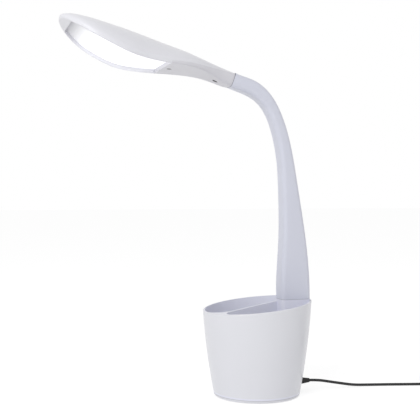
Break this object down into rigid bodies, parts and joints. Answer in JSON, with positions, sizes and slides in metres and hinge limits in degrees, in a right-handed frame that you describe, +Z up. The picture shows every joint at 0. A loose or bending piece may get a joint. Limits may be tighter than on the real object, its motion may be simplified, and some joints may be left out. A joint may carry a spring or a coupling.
{
  "type": "desk lamp with pen pot base",
  "caption": "Desk lamp whose round tub base holds pens in two pots, with a bent arm on one side and a leaf-shaped light head that turns on the arm's end.",
  "frame": {"origin": "middle of the non-slip pad's underside, on the desk", "axes": "+Z up; +X from the tub's centre towards the arm, so the head reaches towards -X; +Y to the far side of the picture"},
  "size_m": [0.6023, 0.1247, 0.4225],
  "materials": {
    "white_plastic": "white moulded ABS, semi-gloss",
    "opal_plastic": "opal light cover",
    "black_plastic": "black moulded plastic, fine grain",
    "black_rubber": "black cord jacket",
    "grey_rubber": "non-slip foam rubber",
    "plain_steel": "plain steel",
    "zinc_steel": "zinc-plated steel",
    "green_board": "circuit board",
    "white_board": "white LED board",
    "led_yellow": "LED phosphor",
    "copper_pad": "copper sensor plate",
    "nickel_brass": "nickel-plated brass"
  },
  "bodies": {
    "base_and_arm": {"tub_body": "white_plastic", "bottom_cover": "white_plastic", "non_slip_pad": "grey_rubber", "cover_screws": "zinc_steel", "ballast_plate": "plain_steel", "power_jack": "black_plastic", "driver_board": "green_board", "touch_sensor_plate": "copper_pad", "arm_near_shell": "white_plastic", "arm_far_shell": "white_plastic", "arm_core_tube": "plain_steel", "arm_foot_plate": "plain_steel", "arm_foot_screws": "zinc_steel", "wire_harness": "black_rubber", "power_plug": "black_plastic", "power_cord": "black_rubber", "cord_coil": "black_rubber", "cord_tail": "black_rubber", "wall_adapter": "black_plastic", "adapter_prongs": "nickel_brass", "spring_washer": "zinc_steel"},
    "head": {"swivel_shaft": "zinc_steel", "swivel_nut": "zinc_steel", "head_top_shell": "white_plastic", "neck_cover": "white_plastic", "head_screws": "zinc_steel", "light_diffuser": "opal_plastic", "light_tray": "white_plastic", "led_board": "white_board", "leds": "led_yellow", "head_leads": "black_rubber"}
  },
  "joints": [
    {"name": "head_swivel", "type": "hinge", "parent": "base_and_arm", "child": "head", "pos_m": [-0.03095, 0, 0.3594], "axis": [-0.9368, 0, 0.3498], "range_deg": [-60, 60]}
  ]
}
